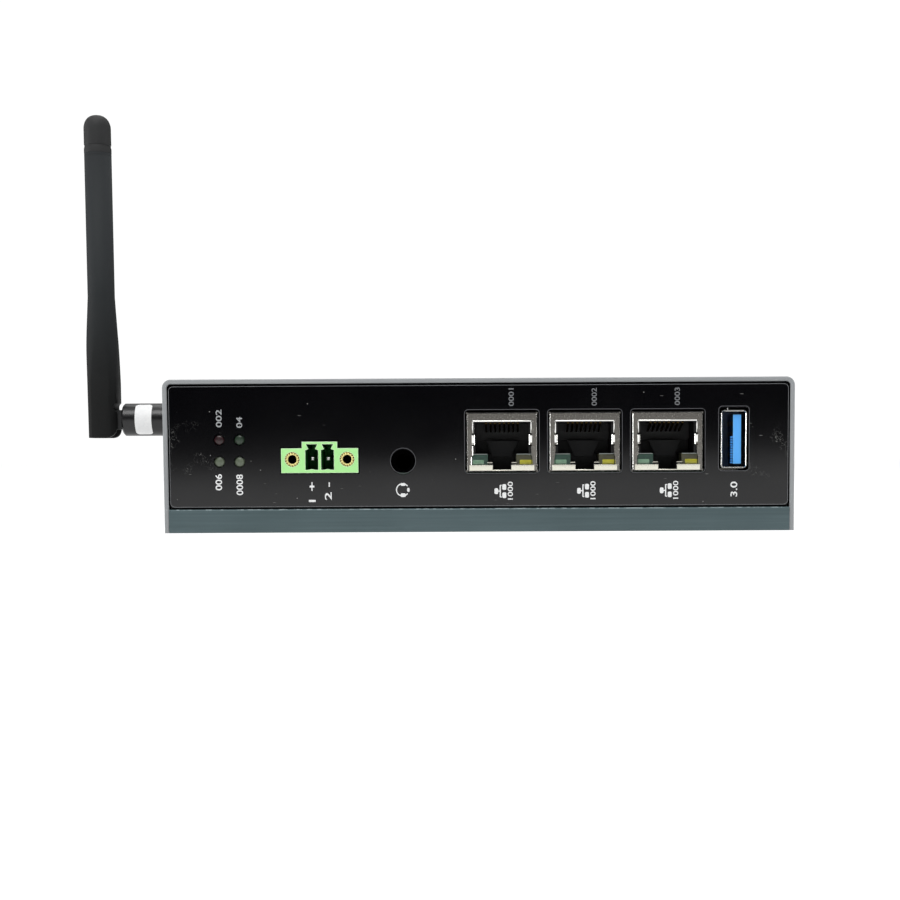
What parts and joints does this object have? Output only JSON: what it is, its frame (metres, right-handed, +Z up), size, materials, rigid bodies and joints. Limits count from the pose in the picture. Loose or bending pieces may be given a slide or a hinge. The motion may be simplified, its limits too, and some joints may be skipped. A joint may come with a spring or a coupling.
{
  "type": "fanless industrial computer",
  "caption": "Low box-shaped fanless computer with a glossy front of network, serial, audio and power sockets, a heatsink base and a folding side antenna.",
  "frame": {"origin": "middle of the heatsink base's underside", "axes": "+X to the right along the front, +Y from the front to the back, +Z up"},
  "size_m": [0.1775, 0.1, 0.1085],
  "materials": {
    "anodised_aluminium": "fine blasted, slate anodised",
    "powder_coat_grey": "fine powder coat",
    "black_paint": "satin black paint",
    "gloss_overlay": "glossy black overlay",
    "black_steel": "blackened steel",
    "zinc_steel": "zinc plated steel",
    "brass": "turned brass",
    "board_green": "green solder mask",
    "chip_black": "moulded epoxy",
    "pad_grey": "soft silicone",
    "black_moulding": "moulded",
    "nickel_sheet": "nickel plated sheet",
    "blue_moulding": "moulded",
    "gold_plate": "gold plated",
    "green_moulding": "moulded polyamide",
    "tin_plate": "tin plated",
    "red_lens": "unlit tinted lens",
    "green_lens": "unlit tinted lens",
    "grey_lens": "unlit diffused lens",
    "teal_lens": "unlit tinted lens",
    "yellow_lens": "unlit tinted lens",
    "white_insulator": "machined",
    "black_antenna": "fine moulded texture"
  },
  "bodies": {
    "case": {"activity_lamp": "grey_lens", "antenna_sleeve": "black_antenna", "audio_jack": "black_moulding", "board_screws": "zinc_steel", "board_standoffs": "brass", "capacitors": "chip_black", "clip_inserts": "zinc_steel", "coin_cell": "nickel_sheet", "coin_cell_holder": "black_moulding", "cover_screws": "black_steel", "front_overlay": "gloss_overlay", "front_panel": "black_paint", "heatsink_base": "anodised_aluminium", "lamp_holder_1": "black_moulding", "lamp_holder_2": "black_moulding", "lan_1_contacts": "gold_plate", "lan_1_green_lamp": "teal_lens", "lan_1_housing": "black_moulding", "lan_1_shield": "nickel_sheet", "lan_1_yellow_lamp": "yellow_lens", "lan_2_contacts": "gold_plate", "lan_2_green_lamp": "teal_lens", "lan_2_housing": "black_moulding", "lan_2_shield": "nickel_sheet", "lan_2_yellow_lamp": "yellow_lens", "lan_3_contacts": "gold_plate", "lan_3_green_lamp": "teal_lens", "lan_3_housing": "black_moulding", "lan_3_shield": "nickel_sheet", "lan_3_yellow_lamp": "yellow_lens", "main_board": "board_green", "memory_chips": "chip_black", "modem_card": "board_green", "modem_lamp": "green_lens", "modem_latch": "black_moulding", "modem_socket": "black_moulding", "panel_screws": "zinc_steel", "power_header": "green_moulding", "power_inductors": "chip_black", "power_inserts": "brass", "power_lamp": "red_lens", "power_pins": "tin_plate", "processor": "chip_black", "rear_panel": "black_paint", "sim_holder": "nickel_sheet", "sma_contact": "gold_plate", "sma_insulator": "white_insulator", "sma_jack": "gold_plate", "sma_nut": "gold_plate", "sma_washer": "gold_plate", "thermal_pad": "pad_grey", "top_cover": "powder_coat_grey", "usb_contacts": "gold_plate", "usb_insulator": "blue_moulding", "usb_shell": "nickel_sheet", "user_lamp": "grey_lens"},
    "knuckle": {"antenna_knuckle": "black_antenna"},
    "whip": {"antenna_whip": "black_antenna", "antenna_cap": "black_antenna", "antenna_hinge_pin": "zinc_steel"}
  },
  "joints": [
    {"name": "antenna_swivel", "type": "hinge", "parent": "case", "child": "knuckle", "pos_m": [-0.0977, 0.03, 0.0272], "axis": [-1, 0, 0], "continuous": true},
    {"name": "antenna_fold", "type": "hinge", "parent": "knuckle", "child": "whip", "pos_m": [-0.1033, 0.03, 0.0272], "axis": [0, -1, 0], "range_deg": [0, 90]}
  ]
}
